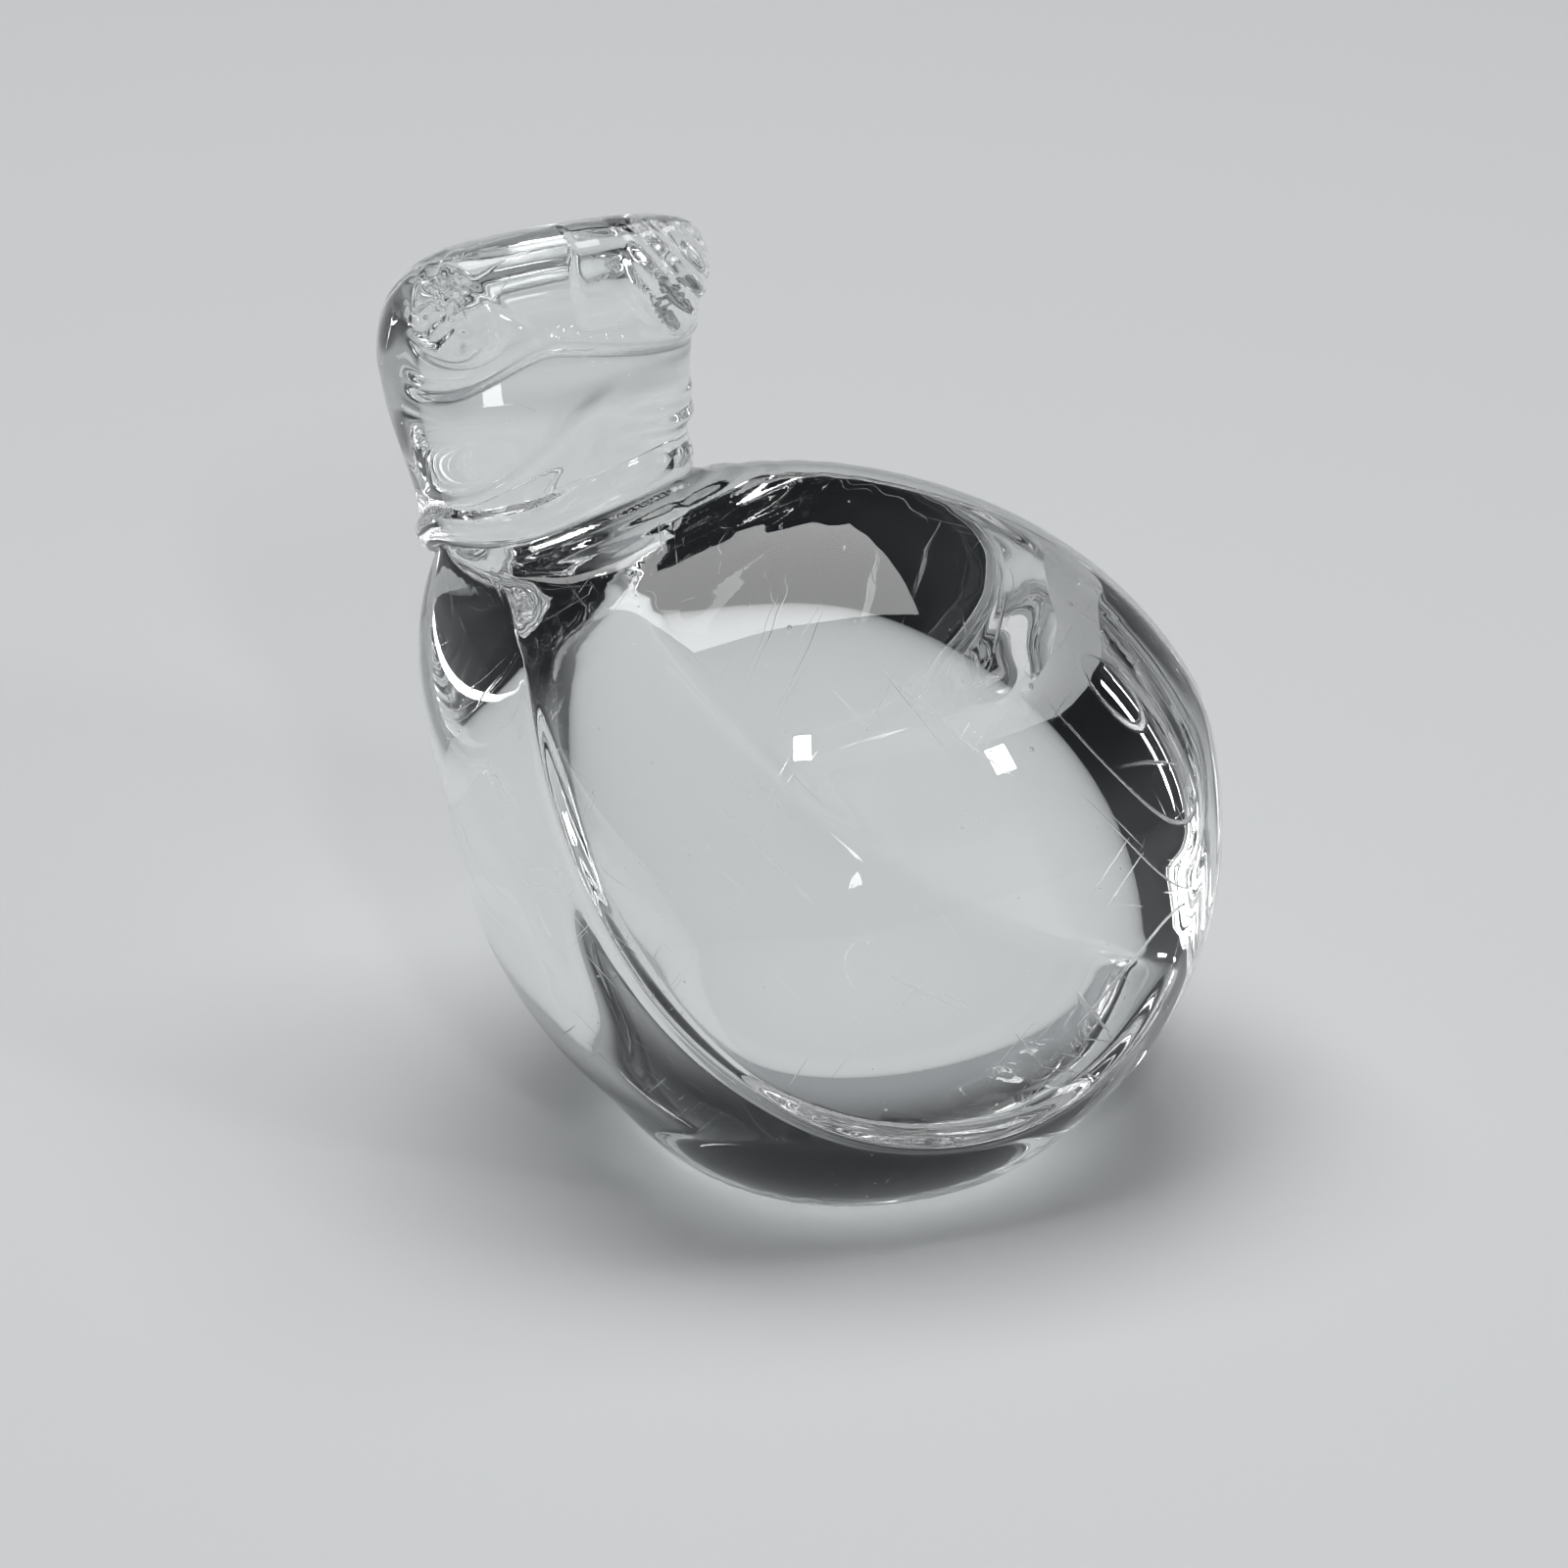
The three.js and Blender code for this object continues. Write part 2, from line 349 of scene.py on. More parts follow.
# Gather lines that the joining left on the shoulder, close round the neck, as distances out from the body
def gather_lines(points):
    a, b, _ = world_to_head(points).T
    across = np.abs(a / GATHER_HALF_WIDE) ** CORNER_POWER
    along = np.abs(b / GATHER_HALF_DEEP) ** CORNER_POWER
    away = ((across + along) ** (1 / CORNER_POWER) - 1) * GATHER_HALF_DEEP
    wave = np.sin(FULL_TURN * away / GATHER_PITCH)
    fade = step(away, 0, GATHER_SETS_IN) * np.exp(-np.maximum(away, 0) / GATHER_FADE)
    return GATHER_PROUD * wave * fade * step(a - b, *GATHER_FROM)


# Hot glass never sets quite even: slow swells of the whole body, as distances out from it
def swells(directions):
    x, y, z = directions.T
    waves = sum(np.sin(in_x * x + in_y * y + in_z * z + shift) for in_x, in_y, in_z, shift in SWELL_WAVES)
    return SWELL_PROUD * waves


def body_size(directions):
    rim = reach(directions, RIM)
    flank = reach(directions, FLANK)
    egg = soft_less(rim, flank, RIDGE_BLEND) + lip(directions, rim - flank)
    rise = directions[:, 2]
    rises = rise > LEAST_RISE
    plateau = np.where(rises, (THROAT_TOP_Z - HEART[2]) / np.maximum(rise, LEAST_RISE), FAR)
    column = soft_less(reach(directions, THROAT), plateau, THROAT_TOP_BLEND)
    pear = soft_more(egg, column, THROAT_BLEND)
    size = soft_more(pear, reach(directions, HAUNCH), HAUNCH_BLEND)
    shoulder = np.where(rises, gather_lines(HEART + directions * size[:, None]), 0)
    return size + shoulder + swells(directions)


def above_body(points):
    out = points - HEART
    return np.linalg.norm(out, axis=1) - body_size(unit(out))


def on_body(points, height):
    out = unit(points - HEART)
    return HEART + out * (body_size(out) + height)[:, None]


# A sphere primitive, with the ring and the place along it of each vertex; ring 0 is the upper pole
def add_ball(name, segments, rings):
    deselect()
    bpy.ops.mesh.primitive_uv_sphere_add(segments=segments, ring_count=rings, radius=1)
    ball = bpy.context.object
    ball.name = name
    ball.data.name = name
    points = np.zeros(len(ball.data.vertices) * 3)
    ball.data.vertices.foreach_get("co", points)
    points = points.reshape(-1, 3)
    polar = np.arccos(np.clip(points[:, 2], -1, 1))
    ring = np.rint(polar / math.pi * rings).astype(int)
    turn = np.arctan2(points[:, 1], points[:, 0]) % FULL_TURN
    place = np.rint(turn / FULL_TURN * segments).astype(int) % segments
    return ball, ring, place


def set_points(piece, points):
    piece.data.vertices.foreach_set("co", (points * MM).astype(np.float32).ravel())
    piece.data.update()


# Faces whose upper ring is in the given range get the seam finish; the rest are crystal
def finish_rings(piece, ring, seam_rings):
    piece.data.materials.append(crystal)
    piece.data.materials.append(seam)
    for face in piece.data.polygons:
        upper = min(ring[v] for v in face.vertices)
        face.material_index = 1 if upper in seam_rings else 0


def cut(piece, cutter, how):
    pick(piece)
    change = piece.modifiers.new("cut", "BOOLEAN")
    change.operation = how
    change.solver = "EXACT"
    change.material_mode = "TRANSFER"
    change.object = cutter
    bpy.ops.object.modifier_apply(modifier=change.name)


def face_outwards(piece):
    pick(piece)
    bpy.ops.object.mode_set(mode="EDIT")
    bpy.ops.mesh.select_all(action="SELECT")
    bpy.ops.mesh.normals_make_consistent(inside=False)
    bpy.ops.object.mode_set(mode="OBJECT")


def smooth(piece):
    face_outwards(piece)
    bpy.ops.object.shade_smooth_by_angle(angle=SMOOTH_ANGLE)


# Materials

def colour(hex_value):
    parts = [int(hex_value[i:i + 2], 16) / 255 for i in (1, 3, 5)]
    linear = [c / 12.92 if c <= 0.04045 else ((c + 0.055) / 1.055) ** 2.4 for c in parts]
    return (*linear, 1)


def add_node(tree, kind, settings=None, links=None):
    node = tree.nodes.new(kind)
    for name, value in (settings or {}).items():
        if isinstance(name, str) and hasattr(node, name):
            setattr(node, name, value)
        else:
            node.inputs[name].default_value = value
    for name, socket in (links or {}).items():
        tree.links.new(socket, node.inputs[name])
    return node


def new_material(name):
    material = bpy.data.materials.new(name)
    material.use_nodes = True
    tree = material.node_tree
    tree.nodes.clear()
    return material, tree


# Lead crystal, hot-worked and fire-polished: colourless and very bright at the edges, with the fine scratches
# and specks of years on a desk, more of them where the flanks are rubbed. Real scratches are some 0.03 mm
# wide; these are drawn as wide as they need to show.
def lead_crystal():
    material, tree = new_material("lead_crystal")
    place = add_node(tree, "ShaderNodeTexCoord").outputs["Object"]
    patch = add_node(tree, "ShaderNodeTexNoise", {
        "Scale": 1 / (SCRATCH_PATCH * MM),
        "Detail": 2,
    }, {"Vector": place})
    patchy = add_node(tree, "ShaderNodeMapRange", {
        "From Min": PATCH_LEVELS[0],
        "From Max": PATCH_LEVELS[1],
    }, {"Value": patch.outputs[0]})
    across = add_node(tree, "ShaderNodeSeparateXYZ", links={"Vector": place}).outputs["Y"]
    aside = add_node(tree, "ShaderNodeMath", {"operation": "ABSOLUTE"}, {0: across})
    rubbed = add_node(tree, "ShaderNodeMapRange", {
        "From Min": RUBBED_FROM * MM,
        "From Max": RUBBED_TO * MM,
    }, {"Value": aside.outputs[0]})
    marks = None
    for turn in SCRATCH_TURNS:
        lines = add_node(tree, "ShaderNodeMapping", {
            "vector_type": "TEXTURE",
            "Rotation": turn,
            "Scale": (SCRATCH_LONG * MM, SCRATCH_LONG * MM, SCRATCH_WIDE * MM),
        }, {"Vector": place})
        noise = add_node(tree, "ShaderNodeTexNoise", {"Scale": 1, "Detail": 0}, {"Vector": lines.outputs[0]})
        more = add_node(tree, "ShaderNodeMath", {
            "operation": "MULTIPLY_ADD",
            1: RUBBED_MORE,
        }, {0: rubbed.outputs[0], 2: noise.outputs[0]})
        line = add_node(tree, "ShaderNodeMapRange", {
            "From Min": SCRATCH_LEVELS[0],
            "From Max": SCRATCH_LEVELS[1],
        }, {"Value": more.outputs[0]})
        kept = add_node(tree, "ShaderNodeMath", {"operation": "MULTIPLY"},
                        {0: line.outputs[0], 1: patchy.outputs[0]})
        if marks:
            kept = add_node(tree, "ShaderNodeMath", {"operation": "MAXIMUM"}, {0: kept.outputs[0], 1: marks})
        marks = kept.outputs[0]
    cells = add_node(tree, "ShaderNodeTexVoronoi", {"Scale": 1 / (SPECK_PITCH * MM)}, {"Vector": place})
    speck = add_node(tree, "ShaderNodeMapRange", {
        "From Min": SPECK_LEVELS[0],
        "From Max": SPECK_LEVELS[1],
    }, {"Value": cells.outputs[0]})
    worn = add_node(tree, "ShaderNodeMath", {"operation": "MAXIMUM"}, {0: marks, 1: speck.outputs[0]})
    rough = add_node(tree, "ShaderNodeMapRange", {"To Min": 0, "To Max": WORN_ROUGHNESS},
                     {"Value": worn.outputs[0]})
    dent = add_node(tree, "ShaderNodeBump", {
        "Strength": DENT_STRENGTH,
        "Distance": DENT_DEEP * MM,
        "invert": True,
    }, {"Height": worn.outputs[0]})
    glass = add_node(tree, "ShaderNodeBsdfPrincipled", {
        "Base Color": colour("#FCFEFE"),
        "IOR": CRYSTAL_IOR,
        "Transmission Weight": 1,
    }, {"Roughness": rough.outputs[0], "Normal": dent.outputs[0]})
    add_node(tree, "ShaderNodeOutputMaterial", links={"Surface": glass.outputs[0]})
    return material


# Ground crystal: the bevel of the base as the wheel left it, a matt white frost with a fine grain. Real grit
# is some 0.05 mm; the grain is drawn as coarse as it needs to show.
def ground_crystal():
    material, tree = new_material("ground_crystal")
    place = add_node(tree, "ShaderNodeTexCoord").outputs["Object"]
    grit = add_node(tree, "ShaderNodeTexNoise", {
        "Scale": 1 / (FROST_GRAIN * MM),
        "Detail": 3,
    }, {"Vector": place})
    rough = add_node(tree, "ShaderNodeMapRange", {
        "To Min": FROST_ROUGHNESS[0],
        "To Max": FROST_ROUGHNESS[1],
    }, {"Value": grit.outputs[0]})
    tooth = add_node(tree, "ShaderNodeBump", {
        "Strength": FROST_STRENGTH,
        "Distance": FROST_TOOTH * MM,
    }, {"Height": grit.outputs[0]})
    glass = add_node(tree, "ShaderNodeBsdfPrincipled", {
        "Base Color": colour("#FAFCFC"),
        "IOR": CRYSTAL_IOR,
        "Transmission Weight": 1,
    }, {"Roughness": rough.outputs[0], "Normal": tooth.outputs[0]})
    add_node(tree, "ShaderNodeOutputMaterial", links={"Surface": glass.outputs[0]})
    return material


# Fused seam: two gathers of the same glass melted together, so light goes straight on through it
def fused_seam():
    material, tree = new_material("fused_seam")
    clear = add_node(tree, "ShaderNodeBsdfTransparent", {"Color": colour("#FFFFFF")})
    add_node(tree, "ShaderNodeOutputMaterial", links={"Surface": clear.outputs[0]})
    return material


# Pale card under the object: even and matt
def pale_card():
    material, tree = new_material("pale_card")
    card = add_node(tree, "ShaderNodeBsdfPrincipled", {"Base Color": colour("#CFD1D2"), "Roughness": 0.9})
    add_node(tree, "ShaderNodeOutputMaterial", links={"Surface": card.outputs[0]})
    return material


crystal = lead_crystal()
seam = fused_seam()
ground = ground_crystal()


# Body

# Directions from the heart, by the polar angle from the middle of the near flank and the turn round it
def flank_directions(polar, turns):
    return np.stack((np.sin(polar) * np.cos(turns), -np.cos(polar), np.sin(polar) * np.sin(turns)), axis=1)


# The polar angle at which the flank meets the rim
def ridge_angles(turns):
    low = np.full(len(turns), RIDGE_LEAST)
    high = np.full(len(turns), math.pi / 2)

    def rim_over(polar):
        out = flank_directions(polar, turns)
        return reach(out, RIM) - reach(out, FLANK)

    crosses = rim_over(high) < 0
    for _ in range(HALVINGS):
        middle = (low + high) / 2
        flank_rules = rim_over(middle) > 0
        low = np.where(flank_rules, middle, low)
        high = np.where(flank_rules, high, middle)
    found = np.where(crosses, low, math.pi / 2)
    return soft_less(found, np.full(len(turns), RIDGE_LIMIT), RIDGE_EASE)


def body_points(ring, place):
    turns = FULL_TURN * place / BODY_SEGMENTS
    ridge = ridge_angles(turns)
    half = FLANK_RINGS + CHEST_RINGS
    near = np.minimum(ring, 2 * half - ring)
    on_flank = 1 - (1 - np.minimum(near / FLANK_RINGS, 1)) ** FLANK_CROWDING
    on_chest = np.maximum((near - FLANK_RINGS) / CHEST_RINGS, 0) ** CHEST_CROWDING
    polar = on_flank * ridge + on_chest * (math.pi / 2 - ridge)
    polar = np.where(ring > half, math.pi - polar, polar)
    out = flank_directions(polar, turns)
    return HEART + out * body_size(out)[:, None]


def grind_base(body):
    pick(body)
    bpy.ops.object.mode_set(mode="EDIT")
    bpy.ops.mesh.select_all(action="SELECT")
    bpy.ops.mesh.bisect(plane_co=(0, 0, BEVEL_TALL * MM), plane_no=(0, 0, 1), use_fill=True, clear_inner=True)
    bpy.ops.mesh.select_all(action="DESELECT")
    bpy.ops.object.mode_set(mode="OBJECT")
    for face in body.data.polygons:
        face.select = face.center.z < (BEVEL_TALL + BEVEL_SLACK) * MM and face.normal.z < FLAT_FACES
    bpy.ops.object.mode_set(mode="EDIT")
    bpy.ops.mesh.select_mode(type="FACE")
    bpy.ops.mesh.inset(thickness=BEVEL_WIDE * MM, depth=BEVEL_TALL * MM)
    bpy.ops.object.mode_set(mode="OBJECT")
    for corner in body.data.vertices:
        x, y, z = corner.co / MM
        if z < BEVEL_TALL / 2:
            corner.co.z = 0
        elif z < BEVEL_TALL + BEVEL_SLACK and y < 0 and CHIP_FROM_X < x < CHIP_TO_X:
            waves = sum(math.sin(rate * x + shift) for rate, shift in CHIP_WAVES)
            corner.co.z += CHIP_TALL * MM * max(waves - CHIP_LEVEL, 0)
    for face in body.data.polygons:
        if 0 < face.center.z < BEVEL_TALL * MM and face.normal.z < BEVEL_FACES:
            face.material_index = 2


def make_body(plug):
    body, ring, place = add_ball("body_crystal", BODY_SEGMENTS, 2 * (FLANK_RINGS + CHEST_RINGS))
    set_points(body, body_points(ring, place))
    for finish in (crystal, seam, ground):
        body.data.materials.append(finish)
    grind_base(body)
    cut(body, plug, "DIFFERENCE")
    smooth(body)
    return body


# Neck and head

# The rows of the head, joined by a smooth curve, at each height
def head_rows_at(heights):
    rows = HEAD_ROWS
    k = np.clip(np.searchsorted(rows[:, 0], heights) - 1, 0, len(rows) - 2)
    before = rows[np.maximum(k - 1, 0)]
    low = rows[k]
    high = rows[k + 1]
    after = rows[np.minimum(k + 2, len(rows) - 1)]
    span = (high - low)[:, :1]
    t = (heights - low[:, 0])[:, None] / span
    rise_low = (high - before) / (high - before)[:, :1] * span
    rise_high = (after - low) / (after - low)[:, :1] * span
    return ((2 * t**3 - 3 * t**2 + 1) * low + (t**3 - 2 * t**2 + t) * rise_low
            + (3 * t**2 - 2 * t**3) * high + (t**3 - t**2) * rise_high)


# The turned axes of the head: a across, b deep, away from the near side, and z up
def head_to_world(local, shift=0):
    a, b, z = local.T
    x = HEAD_X + math.cos(HEAD_TURN) * a - math.sin(HEAD_TURN) * b + shift
    y = HEAD_Y + math.sin(HEAD_TURN) * a + math.cos(HEAD_TURN) * b
    return np.stack((x, y, z), axis=1)


def world_to_head(points):
    x = points[:, 0] - HEAD_X
    y = points[:, 1] - HEAD_Y
    a = math.cos(HEAD_TURN) * x + math.sin(HEAD_TURN) * y
    b = math.cos(HEAD_TURN) * y - math.sin(HEAD_TURN) * x
    return np.stack((a, b, points[:, 2]), axis=1)


# Skin of the neck and head: a rounded rectangle at each height, grown by the bead
def neck_skin(turns, heights, grow=0):
    _, shift, wide, deep, forward, slope = head_rows_at(heights).T
    across = np.abs(np.cos(turns) / (wide + grow)) ** CORNER_POWER
    along = np.abs(np.sin(turns) / (deep + grow)) ** CORNER_POWER
    radius = (across + along) ** (-1 / CORNER_POWER)
    b = radius * np.sin(turns) + forward
    return head_to_world(np.stack((radius * np.cos(turns), b, heights - slope * b), axis=1), shift)


def bead(turns, heights, foot):
    if foot is None:
        return 0
    strength = BEAD_LEAST + BEAD_MORE * (1 - np.cos(turns))
    up = 2 * (heights - foot) / BEAD_TALL - 1
    return BEAD_PROUD * strength * np.maximum(1 - up**2, 0) ** BEAD_POWER


# The height on the skin, at each turn, that lies the given distance off the body
def height_off_body(turns, distance, foot=None):
    low = np.full(len(turns), JOINT_LOWEST_Z)
    high = np.full(len(turns), JOINT_HIGHEST_Z)
    for _ in range(HALVINGS):
        middle = (low + high) / 2
        under = above_body(neck_skin(turns, middle, bead(turns, middle, foot))) < distance
        low = np.where(under, middle, low)
        high = np.where(under, high, middle)
    return low


neck_turns = FULL_TURN * np.arange(NECK_SEGMENTS) / NECK_SEGMENTS
neck_foot = height_off_body(neck_turns, 0)
seat_heights = height_off_body(neck_turns, -SEAT_DEPTH, neck_foot)
joint_heights = height_off_body(neck_turns, 0, neck_foot)
collar_heights = height_off_body(neck_turns, COLLAR_THICK, neck_foot)


def skin_points(place, heights):
    turns = neck_turns[place]
    return neck_skin(turns, heights, bead(turns, heights, neck_foot[place]))


def cap_points(place, share, edge_heights, height):
    edge = skin_points(np.arange(NECK_SEGMENTS), edge_heights)
    centre = edge.mean(axis=0)
    return on_body(centre + share[:, None] * (edge[place] - centre), height)


# A piece of the neck between its seat and the given height off the body, closed by caps that follow the body
def neck_piece(name, top_heights, top):
    rings = 2 * CAP_RINGS + COLLAR_RINGS
    piece, ring, place = add_ball(name, NECK_SEGMENTS, rings)
    points = np.zeros((len(ring), 3))
    upper = ring < CAP_RINGS
    lower = ring > CAP_RINGS + COLLAR_RINGS
    side = ~upper & ~lower
    points[upper] = cap_points(place[upper], ring[upper] / CAP_RINGS, top_heights, top)
    points[lower] = cap_points(place[lower], (rings - ring[lower]) / CAP_RINGS, seat_heights, -SEAT_DEPTH)
    share = (ring[side] - CAP_RINGS) / (COLLAR_RINGS - 1)
    at = place[side]
    heights = top_heights[at] + np.minimum(share, 1) * (joint_heights[at] - top_heights[at])
    heights = np.where(share > 1, seat_heights[at], heights)
    points[side] = skin_points(at, heights)
    set_points(piece, points)
    return piece, ring


# The plug cuts the seat of the collar into the body
def make_plug():
    plug_top = height_off_body(neck_turns, 2 * COLLAR_THICK, neck_foot)
    plug, _ = neck_piece("plug", plug_top, 2 * COLLAR_THICK)
    plug.data.materials.append(seam)
    return plug


def make_collar():
    collar, ring = neck_piece("neck_collar_crystal", collar_heights, COLLAR_THICK)
    last = CAP_RINGS + COLLAR_RINGS - 1
    finish_rings(collar, ring, [*range(CAP_RINGS), *range(last, last + CAP_RINGS + 2)])
    smooth(collar)
    return collar


# The lobes of the ears swell out of the corners of the head
def swell_ears(local):
    out = local - HEAD_HEART
    size = np.linalg.norm(out, axis=1)
    out = unit(out)
    for side in (-1, 1):
        lobe = {"half": EAR_HALF, "centre": (EAR_OUT * side, -EAR_BACK, EAR_MID_Z), "lean": -EAR_LEAN * side}
        size = soft_more(size, reach(out, lobe, HEAD_HEART), EAR_BLEND)
    return HEAD_HEART + out * size[:, None]


# The sides of the head, drawn out at the cheeks and in at the ears, but held at the joint with the collar
def draw_sides(local, free):
    a, b, z = local.T
    for side, middle, spread, out in SIDE_DRAWS:
        a = a + side * out * step(side * a, *DRAW_FROM) * bump(z, middle, spread) * free
    return np.stack((a, b, z), axis=1)


# The flat that a paddle pressed on the near side, between the ears: it leans back and ends in a small wall
def press_flat(local):
    a, b, z = local.T
    flat = FLAT_FOOT_DEEP + FLAT_LEAN * (z - FLAT_FOOT_Z)
    foot = step(z, FLAT_FOOT_Z - FLAT_EASE, FLAT_FOOT_Z + FLAT_EASE)
    press = np.maximum(flat - b, 0) * foot * step(-a, *FLAT_WALL)
    return np.stack((a, b + press, z), axis=1)


# The ledge climbs to the middle of the head and then falls a little, and it is lower at the sides
def ledge_marks(a, z):
    climb = LEDGE_CLIMB * step(a, *LEDGE_CLIMBS)
    over = z - (LEDGE_Z + climb - LEDGE_FALL * np.maximum(a - LEDGE_CLIMBS[1], 0))
    sides = 1 - LEDGE_LOSES * step(np.abs(a), *LEDGE_SIDES)
    ledge = LEDGE_TALL * (step(over, -LEDGE_HALF, LEDGE_HALF) - 0.5) * bump(over, 0, LEDGE_SPREAD) * sides
    roll = ROLL_PROUD * bump(over, ROLL_MIDDLE, ROLL_HALF)
    drops = DROP_PROUD * np.sin(FULL_TURN * a / DROP_PITCH) * bump(over, DROP_MIDDLE, ROLL_HALF)
    return ledge + roll + drops * window(a, *DROP_RANGE)


def right_ear_marks(a, b, z):
    column = COLUMN_PROUD * step(z, *COLUMN_FOOT_Z) * window(a, *COLUMN_RANGE)
    fold = (FOLD_ACROSS * a + FOLD_UP * z) / FOLD_PITCH
    folds = FOLD_PROUD * np.sin(FULL_TURN * fold) * window(a, *FOLD_RANGE)
    return column + folds * step(z, *FOLD_FOOT_Z) * step(-b, *FOLD_DEEP)


def left_ear_marks(a, b, z):
    across = (a - BOWL_ACROSS) / BOWL_HALF_WIDE
    up = (z - BOWL_Z) / BOWL_HALF_TALL
    bowl = np.maximum(1 - across**2 - up**2, 0)
    crumple = sum(np.sin(in_a * a + in_b * b + in_z * z) for in_a, in_b, in_z in CRUMPLE_WAVES)
    round_bowl = bump(np.hypot(across, up), BOWL_LIP_MIDDLE, BOWL_LIP_HALF)
    bowl_lip = BOWL_LIP_PROUD * round_bowl * step(-z, -BOWL_LIP_END_Z, -BOWL_LIP_FADE_Z)
    return CRUMPLE_PROUD * crumple * np.sqrt(bowl) - BOWL_DEEP * bowl + bowl_lip


def crease(a, z):
    from_a = a - CREASE_START[0]
    from_z = z - CREASE_START[1]
    run_a, run_z = CREASE_RUN
    along = (from_a * run_a + from_z * run_z) / CREASE_LONG
    off = (from_z * run_a - from_a * run_z) / CREASE_LONG
    return -CREASE_DEEP * bump(off, 0, CREASE_HALF) * window(along, *CREASE_RANGE)


def neck_marks(a, z):
    waist = WAIST_DEEP * bump(z - WAIST_SLOPE * a, WAIST_Z, WAIST_HALF) * step(-a, -WAIST_END, -WAIST_FADE)
    ripple = np.sin(FULL_TURN * (z + RIPPLE_SLOPE * a) / RIPPLE_PITCH)
    return RIPPLE_PROUD * ripple * step(a, *RIPPLE_FROM) * bump(z, RIPPLE_Z, RIPPLE_HALF) - waist


# Marks of the tools on the near side of the head, as distances out from the surface
def tool_marks(local):
    a, b, z = local.T
    ears = right_ear_marks(a, b, z) + left_ear_marks(a, b, z)
    marks = ledge_marks(a, z) + ears + crease(a, z) + neck_marks(a, z)
    return marks * step(-b, *MARKS_DEEP)


def make_whole_head():
    rings = CROWN_RINGS + HEAD_RINGS + CAP_RINGS
    head, ring, place = add_ball("head_crystal", NECK_SEGMENTS, rings)
    points = np.zeros((len(ring), 3))
    crown = ring < CROWN_RINGS
    lower = ring > CROWN_RINGS + HEAD_RINGS
    side = ~crown & ~lower
    top_z, _, _, _, forward, slope = HEAD_ROWS[-1]
    rim = world_to_head(neck_skin(neck_turns, np.full(NECK_SEGMENTS, top_z)))
    share = (ring[crown] / CROWN_RINGS)[:, None]
    flat = np.array((0, forward)) + share * (rim[place[crown], :2] - np.array((0, forward)))
    rise = top_z - slope * flat[:, 1] + CROWN_RISE * (1 - share[:, 0] ** 2)
    points[crown] = head_to_world(np.column_stack((flat, rise)))
    points[lower] = cap_points(place[lower], (rings - ring[lower]) / CAP_RINGS, collar_heights, COLLAR_THICK)
    at = place[side]
    down = (ring[side] - CROWN_RINGS) / HEAD_RINGS
    points[side] = skin_points(at, top_z + down * (collar_heights[at] - top_z))
    outer = ~lower
    free = step(above_body(points) - COLLAR_THICK, *MARKS_OFF_COLLAR)
    drawn = draw_sides(swell_ears(world_to_head(points[outer])), free[outer])
    points[outer] = head_to_world(press_flat(drawn))
    set_points(head, points)
    normals = np.zeros(len(ring) * 3)
    head.data.vertices.foreach_get("normal", normals)
    out = tool_marks(world_to_head(points)) * free * outer
    set_points(head, points + normals.reshape(-1, 3) * out[:, None])
    finish_rings(head, ring, range(CROWN_RINGS + HEAD_RINGS, rings))
    return head


def make_notch(side):
    deselect()
    bpy.ops.mesh.primitive_cube_add(size=1)
    notch = bpy.context.object
    notch.data.materials.append(seam)
    corners = np.array([corner.co for corner in notch.data.vertices])
    low = np.array((EAR_INNER, -NOTCH_REACH, EAR_SEAT_Z))
    high = np.array((NOTCH_REACH, EAR_FRONT, FAR))
    local = low + (corners + 0.5) * (high - low)
    local[:, 0] *= side
    set_points(notch, head_to_world(local))
    face_outwards(notch)
    return notch


# Each ear is the part of the whole head that lies in its notch, and the head keeps the rest
def make_head_and_ears():
    head = make_whole_head()
    ears = {}
    for name, side in (("ear_left", -1), ("ear_right", 1)):
        notch = make_notch(side)
        pick(head)
        bpy.ops.object.duplicate()
        ear = bpy.context.object
        ear.name = name + "_crystal"
        ear.data.name = ear.name
        cut(ear, notch, "INTERSECT")
        cut(head, notch, "DIFFERENCE")
        bpy.data.objects.remove(notch)
        smooth(ear)
        ears[name] = ear
    smooth(head)
    return head, ears


plug = make_plug()
body = make_body(plug)
bpy.data.objects.remove(plug)
collar = make_collar()
head, ears = make_head_and_ears()

for piece, node in ((body, "body"), (collar, "neck_collar"), (head, "head"),
                    (ears["ear_left"], "ear_left"), (ears["ear_right"], "ear_right")):
    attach(piece, "root")
    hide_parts(node)


# Set: a pale floor, the room, soft boxes and the camera

def make_floor():
    deselect()
    bpy.ops.mesh.primitive_circle_add(vertices=FLOOR_SIDES, radius=FLOOR_RADIUS, fill_type="NGON",
                                      location=(0, 0, -FLOOR_DROP))
    floor = bpy.context.object
    floor.name = "floor"
    bpy.ops.object.transform_apply(location=True)
    floor.data.materials.append(pale_card())


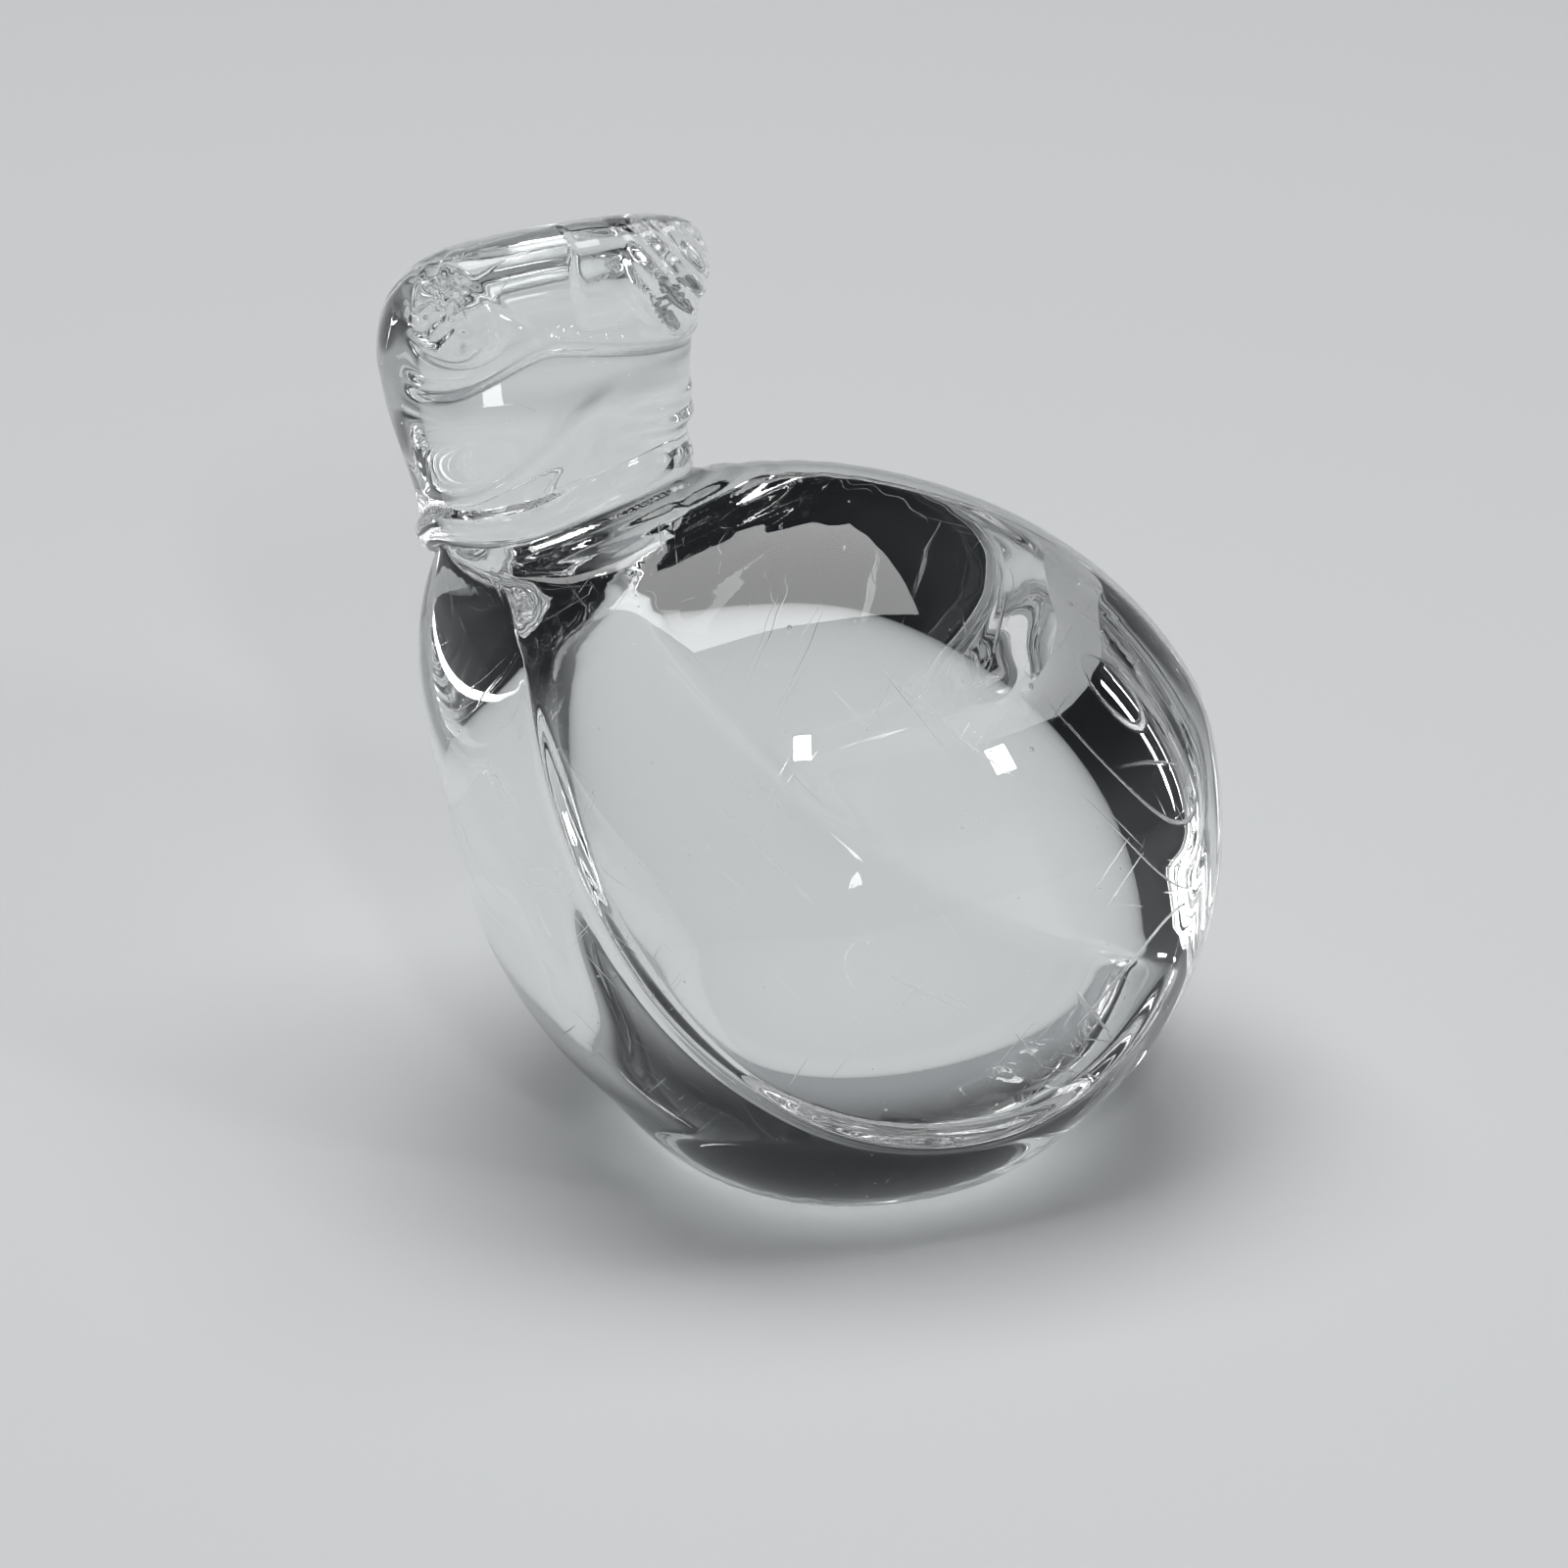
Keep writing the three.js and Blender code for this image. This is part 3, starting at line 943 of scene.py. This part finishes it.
# The room is light at the height of the floor and dark above, so that the glass has dark edges
def make_room():
    world = bpy.data.worlds.new("room")
    bpy.context.scene.world = world
    world.use_nodes = True
    tree = world.node_tree
    tree.nodes.clear()
    look = add_node(tree, "ShaderNodeTexCoord").outputs["Generated"]
    up = add_node(tree, "ShaderNodeSeparateXYZ", links={"Vector": look}).outputs["Z"]
    fall = add_node(tree, "ShaderNodeMapRange", {
        "interpolation_type": "SMOOTHSTEP",
        "From Max": ROOM_FADE,
    }, {"Value": up})
    tones = {"data_type": "RGBA", 6: colour("#949698"), 7: colour("#1C1E20")}
    tone = add_node(tree, "ShaderNodeMix", tones, {"Factor": fall.outputs[0]})
    room = add_node(tree, "ShaderNodeBackground", {"Strength": 1}, {"Color": tone.outputs[2]})
    add_node(tree, "ShaderNodeOutputWorld", links={"Surface": room.outputs[0]})


def add_soft_box(name, place, size, watts):
    lamp = bpy.data.lights.new(name, "AREA")
    lamp.shape = "RECTANGLE"
    lamp.size, lamp.size_y = size
    lamp.energy = watts
    box = bpy.data.objects.new(name, lamp)
    bpy.context.scene.collection.objects.link(box)
    box.location = place
    box.rotation_euler = (BOXES_AIM - Vector(place)).to_track_quat("-Z", "Y").to_euler()


def make_camera():
    view = bpy.data.cameras.new("camera")
    view.lens = CAMERA_LENS
    view.sensor_width = CAMERA_SENSOR
    view.clip_start = CAMERA_CLIP
    camera = bpy.data.objects.new("camera", view)
    bpy.context.scene.collection.objects.link(camera)
    distance = CAMERA_SEES * CAMERA_LENS / CAMERA_SENSOR
    camera.location = CAMERA_AIM + distance * np.array((0, -math.cos(CAMERA_TILT), math.sin(CAMERA_TILT)))
    camera.rotation_euler = (math.pi / 2 - CAMERA_TILT, 0, 0)
    bpy.context.scene.camera = camera


make_floor()
make_room()
make_camera()
for soft_box in SOFT_BOXES:
    add_soft_box(*soft_box)

scene = bpy.context.scene
scene.view_settings.view_transform = "Standard"
scene.cycles.max_bounces = GLASS_BOUNCES
scene.cycles.glossy_bounces = GLASS_BOUNCES
scene.cycles.transmission_bounces = GLASS_BOUNCES
scene.cycles.transparent_max_bounces = SEAM_BOUNCES
